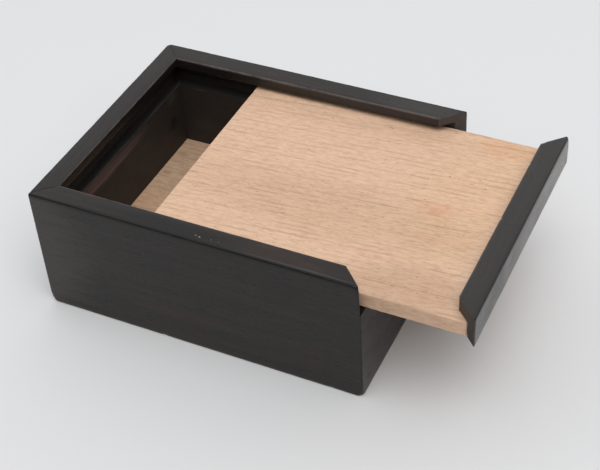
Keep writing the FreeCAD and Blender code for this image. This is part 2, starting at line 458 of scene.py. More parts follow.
def groove_corners(groove, upper_ease, lower_ease, worn):
    """The corners of a groove in a board's inner face, from the upper lip down."""
    low, high = groove
    bottom = WALL - GROOVE_DEPTH
    return [
        (WALL, high, upper_ease, worn),
        (bottom, high, SAWN_EDGE, 0),
        (bottom, low, SAWN_EDGE, 0),
        (WALL, low, lower_ease, worn),
    ]


def wall_outline(height, rim_round, inner_round=EDGE_EASE, lid_groove=True):
    """A wall's section, clockwise from the foot of its outer face."""
    corners = [
        (0, 0, FOOT_ROUND, 1),
        (0, height, rim_round, -1),
        (WALL, height, inner_round, 1),
    ]
    if lid_groove:
        corners += groove_corners(LID_GROOVE, EDGE_EASE, SILL_EASE, worn=0.2)
    corners += groove_corners(FLOOR_GROOVE, SAWN_EDGE, SAWN_EDGE, worn=0)
    corners.append((WALL, 0, INNER_FOOT_EASE, 0.3))
    return rounded_outline(corners)


def make_dents(low, high, seed, count):
    """Small knocks at random places on and near the edges of a region."""
    draw = random.Random(seed)
    dents = []
    for _ in range(count):
        place = [draw.uniform(low[i], high[i]) for i in range(3)]
        axis = draw.randrange(3)
        for other in range(3):
            if other != axis:
                place[other] = draw.choice((low[other], high[other]))
        radius = draw.uniform(0.5, 1.5) * MM
        dents.append((Vector(place), radius, radius * draw.uniform(0.08, 0.2)))
    return dents


# The dark wood's own materials are built here, since the left wall is the first
# piece that has them. Every effect on it is a group that the other boards share.


def calculate(tree, operation, first, second=0.5, third=0.5, clamp=False):
    """The result of one Math node."""
    return add(
        tree,
        "ShaderNodeMath",
        {0: first, 1: second, 2: third},
        operation=operation,
        use_clamp=clamp,
    ).outputs[0]


def vector_math(tree, operation, first, second):
    """The result of one Vector Math node."""
    return add(
        tree, "ShaderNodeVectorMath", {0: first, 1: second}, operation=operation
    ).outputs["Vector"]


def along_grain(tree, length, width):
    """A size along the grain, X, and across it, as one vector."""
    return add(
        tree, "ShaderNodeCombineXYZ", {"X": length, "Y": width, "Z": width}
    ).outputs["Vector"]


def clouds(tree, vector, scale, detail, roughness, distortion=0.0):
    """Soft noise clouds, broken up by finer ones."""
    return add(
        tree,
        "ShaderNodeTexNoise",
        {
            "Vector": vector,
            "Scale": scale,
            "Detail": detail,
            "Roughness": roughness,
            "Distortion": distortion,
        },
    ).outputs["Fac"]


def new_group(name, inputs, outputs):
    """An empty shader node group with the given sockets, and its two ends."""
    group = bpy.data.node_groups.new(name, "ShaderNodeTree")
    for socket_name, kind, value in inputs:
        socket = group.interface.new_socket(
            socket_name, in_out="INPUT", socket_type="NodeSocket" + kind
        )
        if value is not None:
            socket.default_value = value
    for socket_name in outputs:
        group.interface.new_socket(
            socket_name, in_out="OUTPUT", socket_type="NodeSocketFloat"
        )
    ends = group.nodes.new("NodeGroupInput"), group.nodes.new("NodeGroupOutput")
    return group, ends[0].outputs, ends[1].inputs


def place_group(tree, group, inputs):
    """Places a node group in a material and returns its outputs."""
    return add(tree, "ShaderNodeGroup", inputs, node_tree=group).outputs


def make_grain_group():
    """Fibres that run along X: long streaks, finer lines inside them and patches."""
    group, given, result = new_group(
        "wood_grain",
        [
            ("Vector", "Vector", None),
            ("Streak Width", "Float", 2 * MM),
            ("Streak Length", "Float", 50 * MM),
            ("Waviness", "Float", 1 * MM),
            ("Contrast", "Float", 1.0),
        ],
        ["Streak", "Fine", "Patch"],
    )
    # The fibres wander a little to the side along the board.
    drift = add(
        group,
        "ShaderNodeTexNoise",
        {"Vector": given["Vector"], "Scale": 22.0, "Detail": 1.0, "Roughness": 0.4},
    )
    centred = vector_math(group, "SUBTRACT", drift.outputs["Color"], (0.5, 0.5, 0.5))
    sideways = add(
        group,
        "ShaderNodeVectorMath",
        {0: centred, "Scale": given["Waviness"]},
        operation="SCALE",
    ).outputs["Vector"]
    wandering = vector_math(group, "ADD", given["Vector"], sideways)
    streak = along_grain(group, given["Streak Length"], given["Streak Width"])
    in_streaks = vector_math(group, "DIVIDE", wandering, streak)
    for name, scale, detail in (("Streak", 1.0, 3.0), ("Fine", 4.3, 2.0), ("Patch", 0.2, 2.0)):
        spread = calculate(
            group, "SUBTRACT", clouds(group, in_streaks, scale, detail, 0.55), 0.5
        )
        stretched = calculate(
            group, "MULTIPLY_ADD", spread, given["Contrast"], 0.5, clamp=True
        )
        group.links.new(stretched, result[name])
    return group


def make_pore_group():
    """Open pores: short fine slots along X, in loose numbers."""
    group, given, result = new_group(
        "wood_pores",
        [
            ("Vector", "Vector", None),
            ("Length", "Float", 2 * MM),
            ("Width", "Float", 0.2 * MM),
            ("Share", "Float", 0.5),
        ],
        ["Mask"],
    )
    pore = along_grain(group, given["Length"], given["Width"])
    in_pores = vector_math(group, "DIVIDE", given["Vector"], pore)
    cells = add(
        group,
        "ShaderNodeTexVoronoi",
        {"Vector": in_pores, "Scale": 0.45, "Randomness": 1.0},
    )
    slot = ranged(group, cells.outputs["Distance"], 0.16, 0.34, 1.0, 0.0)
    # Each cell draws whether it has a pore at all, and how deep a one.
    drawn = add(
        group, "ShaderNodeSeparateColor", {"Color": cells.outputs["Color"]}
    ).outputs
    there = calculate(group, "LESS_THAN", drawn["Red"], given["Share"])
    depth = calculate(group, "MULTIPLY", there, drawn["Green"])
    group.links.new(calculate(group, "MULTIPLY", slot, depth), result["Mask"])
    return group


def make_wear_group():
    """The mesh's finish: rubbed edges broken up by noise, edges painted dark as a painted
    reflection, raw faces.
    """
    group, given, result = new_group(
        "edge_wear",
        [
            ("Vector", "Vector", None),
            ("Patch Size", "Float", 4 * MM),
            ("Amount", "Float", 0.5),
        ],
        ["Mask", "Painted Dark Edge", "Raw", "End Grain"],
    )
    finish = add(group, "ShaderNodeAttribute", attribute_name="finish")
    state = add(
        group, "ShaderNodeSeparateXYZ", {"Vector": finish.outputs["Vector"]}
    ).outputs
    frequency = calculate(group, "DIVIDE", 1.0, given["Patch Size"])
    patches = clouds(group, given["Vector"], frequency, 4.0, 0.6)
    reach = calculate(group, "ADD", patches, given["Amount"])
    rubbed = calculate(group, "MULTIPLY", state["X"], reach)
    group.links.new(ranged(group, rubbed, 0.45, 1.0), result["Mask"])
    # Edges below zero are painted dark: a painted reflection of the dim room.
    painted_dark_edge = ranged(group, state["X"], -0.8, -0.1, 1.0, 0.0, curve="LINEAR")
    group.links.new(painted_dark_edge, result["Painted Dark Edge"])
    group.links.new(state["Y"], result["Raw"])
    group.links.new(state["Z"], result["End Grain"])
    return group


def make_patch_group():
    """A stain, chip or band: an ellipsoid about one place with a broken border."""
    group, given, result = new_group(
        "wood_patch",
        [
            ("Vector", "Vector", None),
            ("Place", "Vector", None),
            ("Reach", "Vector", None),
            ("Grain", "Vector", None),
            ("Break", "Float", 0.5),
        ],
        ["Mask"],
    )
    offset = vector_math(group, "SUBTRACT", given["Vector"], given["Place"])
    relative = vector_math(group, "DIVIDE", offset, given["Reach"])
    away = add(
        group, "ShaderNodeVectorMath", {0: relative}, operation="LENGTH"
    ).outputs["Value"]
    in_grain = vector_math(group, "DIVIDE", given["Vector"], given["Grain"])
    ragged = calculate(group, "SUBTRACT", clouds(group, in_grain, 1.0, 3.0, 0.6), 0.5)
    border = calculate(group, "MULTIPLY_ADD", ragged, given["Break"], away)
    group.links.new(ranged(group, border, 0.3, 1.0, 1.0, 0.0), result["Mask"])
    return group


def make_handling_group():
    """Faint smudges from hands and a little settled dust, as one slow value."""
    group, given, result = new_group(
        "handling",
        [("Vector", "Vector", None), ("Size", "Float", 20 * MM)],
        ["Smudge"],
    )
    frequency = calculate(group, "DIVIDE", 1.0, given["Size"])
    smudges = clouds(group, given["Vector"], frequency, 3.0, 0.5, distortion=0.6)
    group.links.new(ranged(group, smudges, 0.35, 0.7), result["Smudge"])
    return group


GRAIN = make_grain_group()
PORES = make_pore_group()
WEAR = make_wear_group()
PATCH = make_patch_group()
HANDLING = make_handling_group()

DARK_WOOD = (0.012, 0.0108, 0.0102, 1)
DARK_STREAK = (0.021, 0.0185, 0.0172, 1)
RED_STREAK = (0.034, 0.017, 0.014, 1)
WORN_WOOD = (0.078, 0.056, 0.045, 1)
# Black for pores, darker wood and the painted dark edges, and painted shade on the grooves'
# sills.
BLACK_FOR_PORES_AND_SHADE = (0.003, 0.003, 0.003, 1)
RAW_WOOD = (0.029, 0.0235, 0.0205, 1)
END_WOOD = (0.075, 0.066, 0.061, 1)
OILED_SHEEN = (1.0, 0.95, 0.92, 1)
RED_STAIN = (0.050, 0.022, 0.017, 1)
# Paler grey laid over the dark wood: painted light on the left wall's outer face, and a paler
# rim on the right wall.
PALER_GREY = (0.042, 0.037, 0.035, 1)
# A painted highlight: a thin pale line along the near rim's outer edge.
PAINTED_RIM_HIGHLIGHT = (0.066, 0.062, 0.060, 1)
BARE_CHIP = (0.42, 0.34, 0.24, 1)

# The sockets of a colour Mix node, which has others for its other kinds.
MIX_SHARE, MIX_FIRST, MIX_SECOND, MIX_RESULT = 0, 6, 7, 2


def mix(tree, share, first, second, mode="MIX"):
    """Mixes two colours and returns the mixed one."""
    return add(
        tree,
        "ShaderNodeMix",
        {MIX_SHARE: share, MIX_FIRST: first, MIX_SECOND: second},
        data_type="RGBA",
        blend_type=mode,
    ).outputs[MIX_RESULT]


def lay_over(tree, colour, layers):
    """Lays tints over a colour, one on the other. Each is (mask, strength, tint)."""
    for mask, strength, tint in layers:
        colour = mix(tree, calculate(tree, "MULTIPLY", mask, strength), colour, tint)
    return colour


def add_up(tree, value, effects):
    """Adds effects to a value. Each is (mask, amount)."""
    for mask, amount in effects:
        value = calculate(tree, "MULTIPLY_ADD", mask, amount, value)
    return value


def lay_patches(tree, place, colour, patches, clump, mode):
    """Lays patches over a colour. Each is (place, reach, tint, strength, break).

    Place and reach are in millimetres. clump is the size of the bits of grain that
    break a patch's border up.
    """
    for centre, reach, tint, strength, broken in patches:
        mask = place_group(
            tree,
            PATCH,
            {
                "Vector": place,
                "Place": Vector(centre) * MM,
                "Reach": Vector(reach) * MM,
                "Grain": clump,
                "Break": broken,
            },
        )["Mask"]
        colour = mix(tree, calculate(tree, "MULTIPLY", mask, strength), colour, tint, mode)
    return colour


def lay_grain(tree, vector, width, length, waviness, contrast):
    """Fibres of the given size, and how far they wander to the side."""
    return place_group(
        tree,
        GRAIN,
        {
            "Vector": vector,
            "Streak Width": width,
            "Streak Length": length,
            "Waviness": waviness,
            "Contrast": contrast,
        },
    )


def lay_pores(tree, vector, length, width, share):
    """Pores of the given size. share is how many of the places for one have it."""
    return place_group(
        tree, PORES, {"Vector": vector, "Length": length, "Width": width, "Share": share}
    )["Mask"]


def new_wood(name, turn, shift, shine):
    """A new wood material, with its tree and its shader's inputs.

    It comes with the place of a point on the piece, and with that place turned and
    shifted to where the piece lies in the wood, which is where its grain is read.
    """
    material = bpy.data.materials.new(name)
    material.use_nodes = True
    tree = material.node_tree
    shader = tree.nodes["Principled BSDF"].inputs
    shader["Specular IOR Level"].default_value = shine
    place = add(tree, "ShaderNodeTexCoord").outputs["Object"]
    in_wood = add(
        tree,
        "ShaderNodeMapping",
        {"Vector": place, "Rotation": (0, 0, turn), "Location": shift},
    ).outputs["Vector"]
    return material, tree, shader, place, in_wood


def link_wood(tree, shader, colour, roughness, relief, strength, deep):
    """Gives a wood's shader its colour, its roughness and a relief this deep."""
    bump = add(
        tree,
        "ShaderNodeBump",
        {"Strength": strength, "Distance": deep, "Height": relief},
    )
    tree.links.new(colour, shader["Base Color"])
    tree.links.new(roughness, shader["Roughness"])
    tree.links.new(bump.outputs["Normal"], shader["Normal"])


def make_dark_wood(name, turn, shift, patches=(), shine=0.32, worn=WORN_WOOD, end=END_WOOD):
    """Oiled near-black hardwood. turn lays the grain along the board, in radians.

    The patches are places where the wood is red, black, chipped or paler, and places painted
    with light and shade: painted highlights, sheen and bounce light, and painted shade in the
    grooves. worn and end are the colours of its rubbed edges, which on the far wall carry a
    painted sheen as well, and of its end grain.
    """
    material, tree, shader, place, in_wood = new_wood(name, turn, shift, shine)
    shader["Specular Tint"].default_value = OILED_SHEEN
    grain = lay_grain(tree, in_wood, 1.6 * MM, 40 * MM, waviness=4 * MM, contrast=1.5)
    pores = lay_pores(tree, in_wood, 2.0 * MM, 0.18 * MM, share=0.5)
    state = place_group(tree, WEAR, {"Vector": place, "Patch Size": 5 * MM, "Amount": 0.35})
    smudge = place_group(tree, HANDLING, {"Vector": place, "Size": 16 * MM})["Smudge"]
    streaks = ranged(tree, grain["Streak"], 0.4, 0.85)
    reddish = calculate(
        tree,
        "MULTIPLY",
        ranged(tree, grain["Patch"], 0.58, 0.85),
        ranged(tree, grain["Fine"], 0.4, 0.8),
    )
    colour = lay_over(
        tree,
        DARK_WOOD,
        [
            (streaks, 0.6, DARK_STREAK),
            (reddish, 1.0, RED_STREAK),
            (state["Raw"], 1.0, RAW_WOOD),
            (state["End Grain"], 1.0, end),
        ],
    )
    clump = (2 * MM, 20 * MM, 2 * MM) if turn else (20 * MM, 2 * MM, 2 * MM)
    colour = lay_patches(tree, place, colour, patches, clump, "MIX")
    colour = lay_over(
        tree,
        colour,
        [
            (state["Mask"], 0.85, worn),
            (state["Painted Dark Edge"], 1.0, BLACK_FOR_PORES_AND_SHADE),
            (pores, 1.0, BLACK_FOR_PORES_AND_SHADE),
        ],
    )
    roughness = add_up(
        tree,
        ranged(tree, grain["Fine"], 0.2, 0.8, 0.20, 0.30),
        [(smudge, 0.08), (pores, 0.3), (state["Raw"], 0.35), (state["End Grain"], 0.3)],
    )
    relief = add_up(tree, grain["Fine"], [(pores, -0.8)])
    link_wood(tree, shader, colour, roughness, relief, strength=0.35, deep=0.08 * MM)
    return material


def finish_piece(piece, material, node, body):
    """Gives a piece its material, and its place in the model."""
    piece.data.materials.append(material)
    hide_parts(node)
    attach(piece, body)


def left_place(x, depth, z):
    """Depth runs inwards from the near face."""
    return Vector((x, NEAR_Y + depth, z))


left_board = mitred_board(
    "left_board",
    BOX_LENGTH,
    wall_outline(BOX_HEIGHT, RIM_ROUND),
    left_place,
    glued_below=FRONT_HEIGHT,
    raw_below=LID_GROOVE[1],
    dents=make_dents(
        low=(WALL_BACK_X, NEAR_Y, 0),
        high=(WALL_FRONT_X, NEAR_Y + WALL, BOX_HEIGHT),
        seed=11,
        count=26,
    ),
    rubbed={1: LEFT_OPEN_CORNER},
)

# Heights and faces that patches lie on are in millimetres, as the patches are.
RIM = BOX_HEIGHT / MM
NEAR_FACE = NEAR_Y / MM
LEFT_PATCHES = [
    # Red stains: three on the rim and a faint one low on the outer face.
    ((27.2, -44.3, RIM), (7, 1.2, 1), RED_STAIN, 0.45, 0.9),
    ((44.5, -47.0, RIM), (8, 1.0, 1), RED_STAIN, 0.45, 0.9),
    ((-42.7, -43.4, RIM), (4, 0.7, 1), RED_STAIN, 0.5, 0.8),
    ((-5, NEAR_FACE, 14), (34, 2, 3.5), RED_STAIN, 0.22, 1.2),
    # The closed end of the outer face is painted paler, as painted light from that side. The
    # rim is blackest in its middle and reddish towards the open end, where a painted highlight
    # runs along its outer edge.
    ((-70, NEAR_FACE, 30), (34, 3, 60), PALER_GREY, 0.85, 0.8),
    ((-8, -47, RIM), (38, 5, 1), BLACK_FOR_PORES_AND_SHADE, 0.8, 0.7),
    ((36, -47, RIM), (26, 5, 1), RED_STREAK, 0.5, 0.9),
    ((40, -49.5, RIM), (34, 0.65, 1), PAINTED_RIM_HIGHLIGHT, 0.8, 0.8),
    # A row of tiny chips half-way along the rim.
    ((2.4, -47.8, RIM), (0.4, 0.3, 1), BARE_CHIP, 0.6, 0.6),
    ((4.0, -48.1, RIM), (0.6, 0.3, 1), BARE_CHIP, 0.9, 0.6),
    ((8.3, -48.0, RIM), (0.4, 0.3, 1), BARE_CHIP, 0.6, 0.6),
    ((11.2, -48.0, RIM), (0.3, 0.3, 1), BARE_CHIP, 0.35, 0.6),
]
finish_piece(
    left_board,
    make_dark_wood(
        "dark_wood_left", turn=0, shift=(0.31, 0.07, 0.02), patches=LEFT_PATCHES
    ),
    "left_wall",
    "box",
)

# ---------------------------------------------------------------- right wall
# The far long wall, the left wall's twin from the same board. Its mitre at the open
# end stands clear above the lid.

RIGHT_RIM_ROUND = 0.45 * MM
RIGHT_OPEN_CORNER = 1.0 * MM
FAR_CORNER = 2.2 * MM
LIP_GAIN = 0.12  # how much thicker the lip is in its middle, as a share
LIP_GAIN_RISE = 0.30  # how much that grows from the open end to the closed one
LIP_MARGIN = 0.1 * MM
# Grey on the far wall's rubbed edges: wear, and a painted sheen along the lip's inner arris.
GREY_WEAR_AND_SHEEN = (0.12, 0.105, 0.098, 1)
# Painted light: the lip's face above the lid is paler, where the lid throws light up onto it.
PAINTED_BOUNCE_LIGHT = (0.038, 0.034, 0.035, 1)
GLUE_SMEAR = (0.060, 0.052, 0.038, 1)


def right_place(x, depth, z):
    """Depth runs inwards from the far face, and X the other way round.

    The lip over the lid was left thicker towards the closed end.
    """
    if depth > WALL - GROOVE_DEPTH - LIP_MARGIN and z > LID_GROOVE[1] - LIP_MARGIN:
        gain = LIP_GAIN + LIP_GAIN_RISE * x / BOX_LENGTH
        z = BOX_HEIGHT - (BOX_HEIGHT - z) * (1 + gain)
    return Vector((-x, -NEAR_Y - depth, z))


right_board = mitred_board(
    "right_board",
    BOX_LENGTH,
    wall_outline(BOX_HEIGHT, RIM_ROUND, RIGHT_RIM_ROUND),
    right_place,
    glued_below=FRONT_HEIGHT,
    raw_below=LID_GROOVE[1],
    dents=make_dents(
        low=(WALL_BACK_X, -NEAR_Y - WALL, 0),
        high=(WALL_FRONT_X, -NEAR_Y, BOX_HEIGHT),
        seed=17,
        count=22,
    ),
    rubbed={-1: RIGHT_OPEN_CORNER, 1: FAR_CORNER},
)
SILL = LID_GROOVE[0] / MM
RIGHT_PATCHES = [
    # The sill of the groove is painted black as painted shade under the lip, and glue was
    # smeared in the far corner.
    ((0, 45, SILL), (120, 6, 0.8), BLACK_FOR_PORES_AND_SHADE, 0.75, 1.1),
    ((-46, 42.6, 39.3), (4, 1.2, 0.5), GLUE_SMEAR, 0.9, 0.8),
    ((-45, 42.5, 22), (8, 1.5, 5), GLUE_SMEAR, 0.2, 1.3),
    # The rim is paler towards the open end, and the face of the lip is painted paler above the
    # lid, as painted light thrown up from it.
    ((48, 46, RIM), (28, 8, 1), PALER_GREY, 0.6, 0.8),
    ((27, 42.4, 50.6), (62, 1, 2.6), PAINTED_BOUNCE_LIGHT, 0.9, 0.5),
]
finish_piece(
    right_board,
    make_dark_wood(
        "dark_wood_right",
        turn=0,
        shift=(0.83, 0.41, 0.55),
        patches=RIGHT_PATCHES,
        worn=GREY_WEAR_AND_SHEEN,
    ),
    "right_wall",
    "box",
)

# ---------------------------------------------------------------- back wall
# The wall across the closed end, full height, glued between the long walls. The
# lid's inner end slides into its groove when the box is shut.

BACK_WORN = (0.070, 0.060, 0.057, 1)
RED_BAND = (0.098, 0.062, 0.056, 1)
RED_LINE = (0.135, 0.092, 0.084, 1)
SAWN_GROOVE = (0.060, 0.053, 0.048, 1)


def back_place(x, depth, z):
    """Depth runs inwards from the closed end, and X along -Y."""
    return Vector((WALL_BACK_X + depth, -x, z))


back_board = mitred_board(
    "back_board",
    BOX_WIDTH,
    wall_outline(BOX_HEIGHT, RIM_ROUND),
    back_place,
    glued_below=math.inf,
    raw_below=LID_GROOVE[1],
    dents=make_dents(
        low=(WALL_BACK_X, NEAR_Y, 0),
        high=(WALL_BACK_X + WALL, -NEAR_Y, BOX_HEIGHT),
        seed=13,
        count=14,
    ),
    rubbed={-1: FAR_CORNER},
)
BACK_FACE = (WALL_BACK_X + WALL) / MM
BACK_GROOVE = BACK_FACE - GROOVE_DEPTH / MM
BACK_PATCHES = [
    # A red band under the groove, with a paler line along its foot.
    ((BACK_FACE, -16, 37.2), (1.5, 42, 3.7), RED_BAND, 0.9, 0.9),
    ((BACK_FACE, -16, 35.85), (1.5, 30, 1.0), RED_LINE, 0.8, 0.9),
    # The groove's bottom is grey from the saw.
    ((BACK_GROOVE, 0, 44.5), (1.0, 60, 4.5), SAWN_GROOVE, 0.6, 1.6),
    # The far corner has a smear of glue and is black below it, and the sill is painted black
    # as painted shade in the groove.
    ((BACK_FACE, 35, 37.5), (2, 5, 3), GLUE_SMEAR, 0.7, 1.4),
    ((BACK_FACE, 34, 26), (2, 4, 4), BLACK_FOR_PORES_AND_SHADE, 0.75, 1.0),
    ((-57.6, 0, SILL), (3, 90, 0.8), BLACK_FOR_PORES_AND_SHADE, 0.85, 1.1),
]
finish_piece(
    back_board,
    make_dark_wood(
        "dark_wood_back",
        turn=math.pi / 2,
        shift=(0.12, 0.67, 0.38),
        patches=BACK_PATCHES,
        worn=BACK_WORN,
    ),
    "back_wall",
    "box",
)

# ---------------------------------------------------------------- front wall
# The lower part of the open end. It was one board with the lid's strip, until the
# strip was sawn off with a thin kerf, so that the lid can pass over it.


def front_place(x, depth, z):
    """Depth runs inwards from the open end, and X along Y."""
    return Vector((WALL_FRONT_X - depth, x, z))


front_board = mitred_board(
    "front_board",
    BOX_WIDTH,
    wall_outline(FRONT_HEIGHT, EDGE_EASE, lid_groove=False),
    front_place,
    glued_below=math.inf,
    raw_below=FRONT_HEIGHT,
    dents=make_dents(
        low=(WALL_FRONT_X - WALL, NEAR_Y, 0),
        high=(WALL_FRONT_X, -NEAR_Y, FRONT_HEIGHT),
        seed=14,
        count=12,
    ),
    rubbed={},
)
finish_piece(
    front_board,
    make_dark_wood(
        "dark_wood_front", turn=math.pi / 2, shift=(0.52, 0.29, 0.71), shine=0.26
    ),
    "front_wall",
    "box",
)

# ---------------------------------------------------------------- bottom panel
# A pale wood panel that floats in the lower groove of all four walls. It was left bare, and
# has greyed and picked up a few smudges inside the box, with painted shade along the back
# wall's foot and in the far corner.

BOTTOM_EASE = 0.15 * MM
BOTTOM_STEP = 1.6 * MM
PANEL_ARC = (0, 20, 40, 65, 90)
BESIDE_PANEL_END = (0.15, 0.35, 0.6, 0.9, 1.3)
PANEL_WEAR = 0.5  # as a share of a wall's wear
RAGGED_FROM = 0.1  # the edge value from which fibres tear
FIBRE_WIDTH = 0.6 * MM
FIBRE_STRETCH = 3.0
PALE_WOOD = (0.757, 0.514, 0.355, 1)
PALE_LINE = (0.46, 0.285, 0.18, 1)
PINK_TINT = (0.747, 0.465, 0.327, 1)
PALE_PORE = (0.20, 0.12, 0.075, 1)
RING_LENGTH = 60 * MM
WAVE_SCALE = math.pi / 10  # at which a Wave texture has one band to the unit


def panel_board(name, node, round_top, round_bottom, ragged, step, dents, plan_round=0.0):
    """A flat panel with eased edges, laid along X where its node lies.

    ragged is how far torn fibres break its edges up, step the spacing of its mesh
    and plan_round the radius of the two corners of its inner end.
    """
    low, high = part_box(node)
    outline = rounded_outline(
        [
            (low.y, low.z, round_bottom, 1),
            (low.y, high.z, round_top, 1),
            (high.y, high.z, round_top, 1),
            (high.y, low.z, round_bottom, 1),
        ],
        step,
    )
    normals = outward(outline)
    half = (high.x - low.x) / 2
    distances = end_distances(half, round_top, PANEL_ARC, BESIDE_PANEL_END, step)
    stations = [low.x + x for x in distances] + [high.x - x for x in reversed(distances[:-1])]
    rings, states = [], []
    for x in stations:
        from_end = min(x - low.x, high.x - x)
        lean = round_top * fall_back(from_end, round_top)
        pinch = 1 - plan_round * fall_back(x - low.x, plan_round) / high.y
        ring, ring_states = [], []
        for (y, z, edge), normal in zip(outline, normals):
            edge = max(edge, math.exp(-from_end / EDGE_FADE))
            place = Vector((x, y * pinch, z))
            inset = lean + PANEL_WEAR * hand_worn(place, edge, dents)
            if edge > RAGGED_FROM:
                fibre = Vector((place.x / FIBRE_STRETCH, place.y, place.z))
                inset += ragged * edge * hills(fibre, FIBRE_WIDTH)
            ring.append((x, place.y - inset * normal.x, z - inset * normal.y))
            ring_states.append((edge, 0.0))
        rings.append(ring)
        states.append(ring_states)
    return make_mesh(name, outline, rings, states)


def make_ring_group():
    """Growth rings in a plain sawn face: thin lines along X that fade in and out."""
    group, given, result = new_group(
        "growth_rings",
        [("Vector", "Vector", None), ("Spacing", "Float", 2.5 * MM)],
        ["Line"],
    )
    pitch = along_grain(group, RING_LENGTH, given["Spacing"])
    in_rings = vector_math(group, "DIVIDE", given["Vector"], pitch)
    rings = add(
        group,
        "ShaderNodeTexWave",
        {
            "Vector": in_rings,
            "Scale": WAVE_SCALE,
            "Distortion": 9.0,
            "Detail": 2.0,
            "Detail Scale": 0.5,
            "Detail Roughness": 0.5,
        },
        bands_direction="Y",
        wave_profile="SAW",
    )
    thin = ranged(group, rings.outputs["Fac"], 0.55, 1.0, curve="SMOOTHERSTEP")
    # Each line comes and goes every centimetre or so.
    short = vector_math(group, "MULTIPLY", in_rings, (4.0, 0.7, 0.7))
    fading = clouds(group, short, 1.0, 3.0, 0.6)
    strength = ranged(group, fading, 0.42, 0.64, curve="LINEAR")
    group.links.new(calculate(group, "MULTIPLY", thin, strength), result["Line"])
    return group


RINGS = make_ring_group()


def make_pale_wood(name, turn, shift, line_strength, fleck_share, patches):
    """Bare fine-grained pale wood. turn sets its grain askew to X, in radians.

    The tints of its patches multiply its colour, so they darken or warm it, and in places
    paint light and shade on it.
    """
    material, tree, shader, place, in_wood = new_wood(name, turn, shift, shine=0.3)
    broad = lay_grain(tree, in_wood, 5 * MM, 70 * MM, waviness=6 * MM, contrast=1.4)
    fibres = lay_grain(tree, in_wood, 0.45 * MM, 3.5 * MM, waviness=1 * MM, contrast=2.0)
    dashes = lay_grain(tree, in_wood, 0.9 * MM, 3.0 * MM, waviness=2 * MM, contrast=2.4)
    rings = place_group(tree, RINGS, {"Vector": in_wood, "Spacing": 2.6 * MM})["Line"]
    fine_rings = place_group(tree, RINGS, {"Vector": in_wood, "Spacing": 1.1 * MM})["Line"]
    flecks = lay_pores(tree, in_wood, 1.0 * MM, 0.32 * MM, fleck_share)
    pores = lay_pores(tree, in_wood, 0.8 * MM, 0.13 * MM, share=0.6)
    worn = place_group(tree, WEAR, {"Vector": place, "Patch Size": 3 * MM, "Amount": 0.1})
    colour = lay_over(
        tree,
        PALE_WOOD,
        [
            (ranged(tree, broad["Streak"], 0.45, 0.85), 0.5, PINK_TINT),
            (rings, line_strength, PALE_LINE),
            (fine_rings, 0.4 * line_strength, PALE_LINE),
            (ranged(tree, fibres["Streak"], 0.3, 0.9), 0.36, PALE_LINE),
            (ranged(tree, dashes["Streak"], 0.45, 0.95), 0.36, PALE_LINE),
            (pores, 0.3, PALE_PORE),
            (flecks, 0.6, PALE_PORE),
            (worn["Mask"], 0.2, PALE_LINE),
        ],
    )
    clump = (25 * MM, 2 * MM, 2 * MM)
    colour = lay_patches(tree, place, colour, patches, clump, "MULTIPLY")
    roughness = ranged(tree, fibres["Streak"], 0.2, 0.8, 0.50, 0.65)
    relief = add_up(tree, fibres["Streak"], [(pores, -0.7), (flecks, -0.8)])
    link_wood(tree, shader, colour, roughness, relief, strength=0.4, deep=0.10 * MM)
    return material


bottom_board = panel_board(
    "bottom_board",
    "bottom_panel",
    round_top=BOTTOM_EASE,
    round_bottom=BOTTOM_EASE,
    ragged=0.0,
    step=BOTTOM_STEP,
    dents=[],
)
GREYED = (0.86, 0.86, 0.84, 1)
YELLOWED = (1.0, 0.92, 0.84, 1)
WARMED = (1.0, 0.95, 0.88, 1)
DARKER_TONE = (0.93, 0.92, 0.90, 1)
# Grime, and painted shade at the foot of the back wall and in the far corner.
GRIME_AND_PAINTED_SHADE = (0.62, 0.58, 0.56, 1)
FLOOR = floor_high.z / MM
BOTTOM_PATCHES = [
    # The whole panel has greyed. At the back wall it is warmer, and a little darker in the far
    # corner.
    ((0, 0, FLOOR), (200, 200, 10), GREYED, 1.0, 0.0),
    ((-50, -30, FLOOR), (9, 8, 1), YELLOWED, 0.6, 1.0),
    ((-50, 3, FLOOR), (9, 9, 1), WARMED, 0.9, 1.0),
    ((-49, 33, FLOOR), (9, 9, 1), DARKER_TONE, 0.9, 1.6),
    # Grime lies along the back wall and in the far corner, with painted shade where the panel
    # meets the wall and in the corner itself.
    ((-56.5, 38.5, FLOOR), (2.6, 2.2, 1), GRIME_AND_PAINTED_SHADE, 0.7, 1.2),
    ((-56.5, 29, FLOOR), (1.6, 4, 1), GRIME_AND_PAINTED_SHADE, 0.6, 1.2),
    ((-52, 33, FLOOR), (4, 1.5, 1), GRIME_AND_PAINTED_SHADE, 0.4, 1.5),
    ((-47, 12, FLOOR), (3, 6, 1), GRIME_AND_PAINTED_SHADE, 0.3, 1.5),
    ((-44, 22, FLOOR), (5, 3, 1), GRIME_AND_PAINTED_SHADE, 0.35, 1.8),
    ((-52, 20, FLOOR), (3, 2, 1), GRIME_AND_PAINTED_SHADE, 0.5, 1.8),
    ((-51, -12, FLOOR), (4, 3, 1), GRIME_AND_PAINTED_SHADE, 0.3, 1.8),
]
finish_piece(
    bottom_board,
    make_pale_wood(
        "pale_wood_bottom",
        turn=0.0,
        shift=(0.4, 0.2, 0.6),
        line_strength=0.7,
        fleck_share=0.16,
        patches=BOTTOM_PATCHES,
    ),
    "bottom_panel",
    "box",
)

# ---------------------------------------------------------------- lid panel
# The pale wood panel that slides in the upper grooves. It is planed but bare, with
# rubbed, slightly ragged long edges where it runs in the grooves.

LID_EDGE_ROUND = 0.45 * MM
LID_UNDER_EASE = 0.3 * MM
LID_CORNER_ROUND = 0.9 * MM
LID_RAGGED = 0.16 * MM
LID_STEP = 0.9 * MM
LID_GRAIN_TURN = -0.075

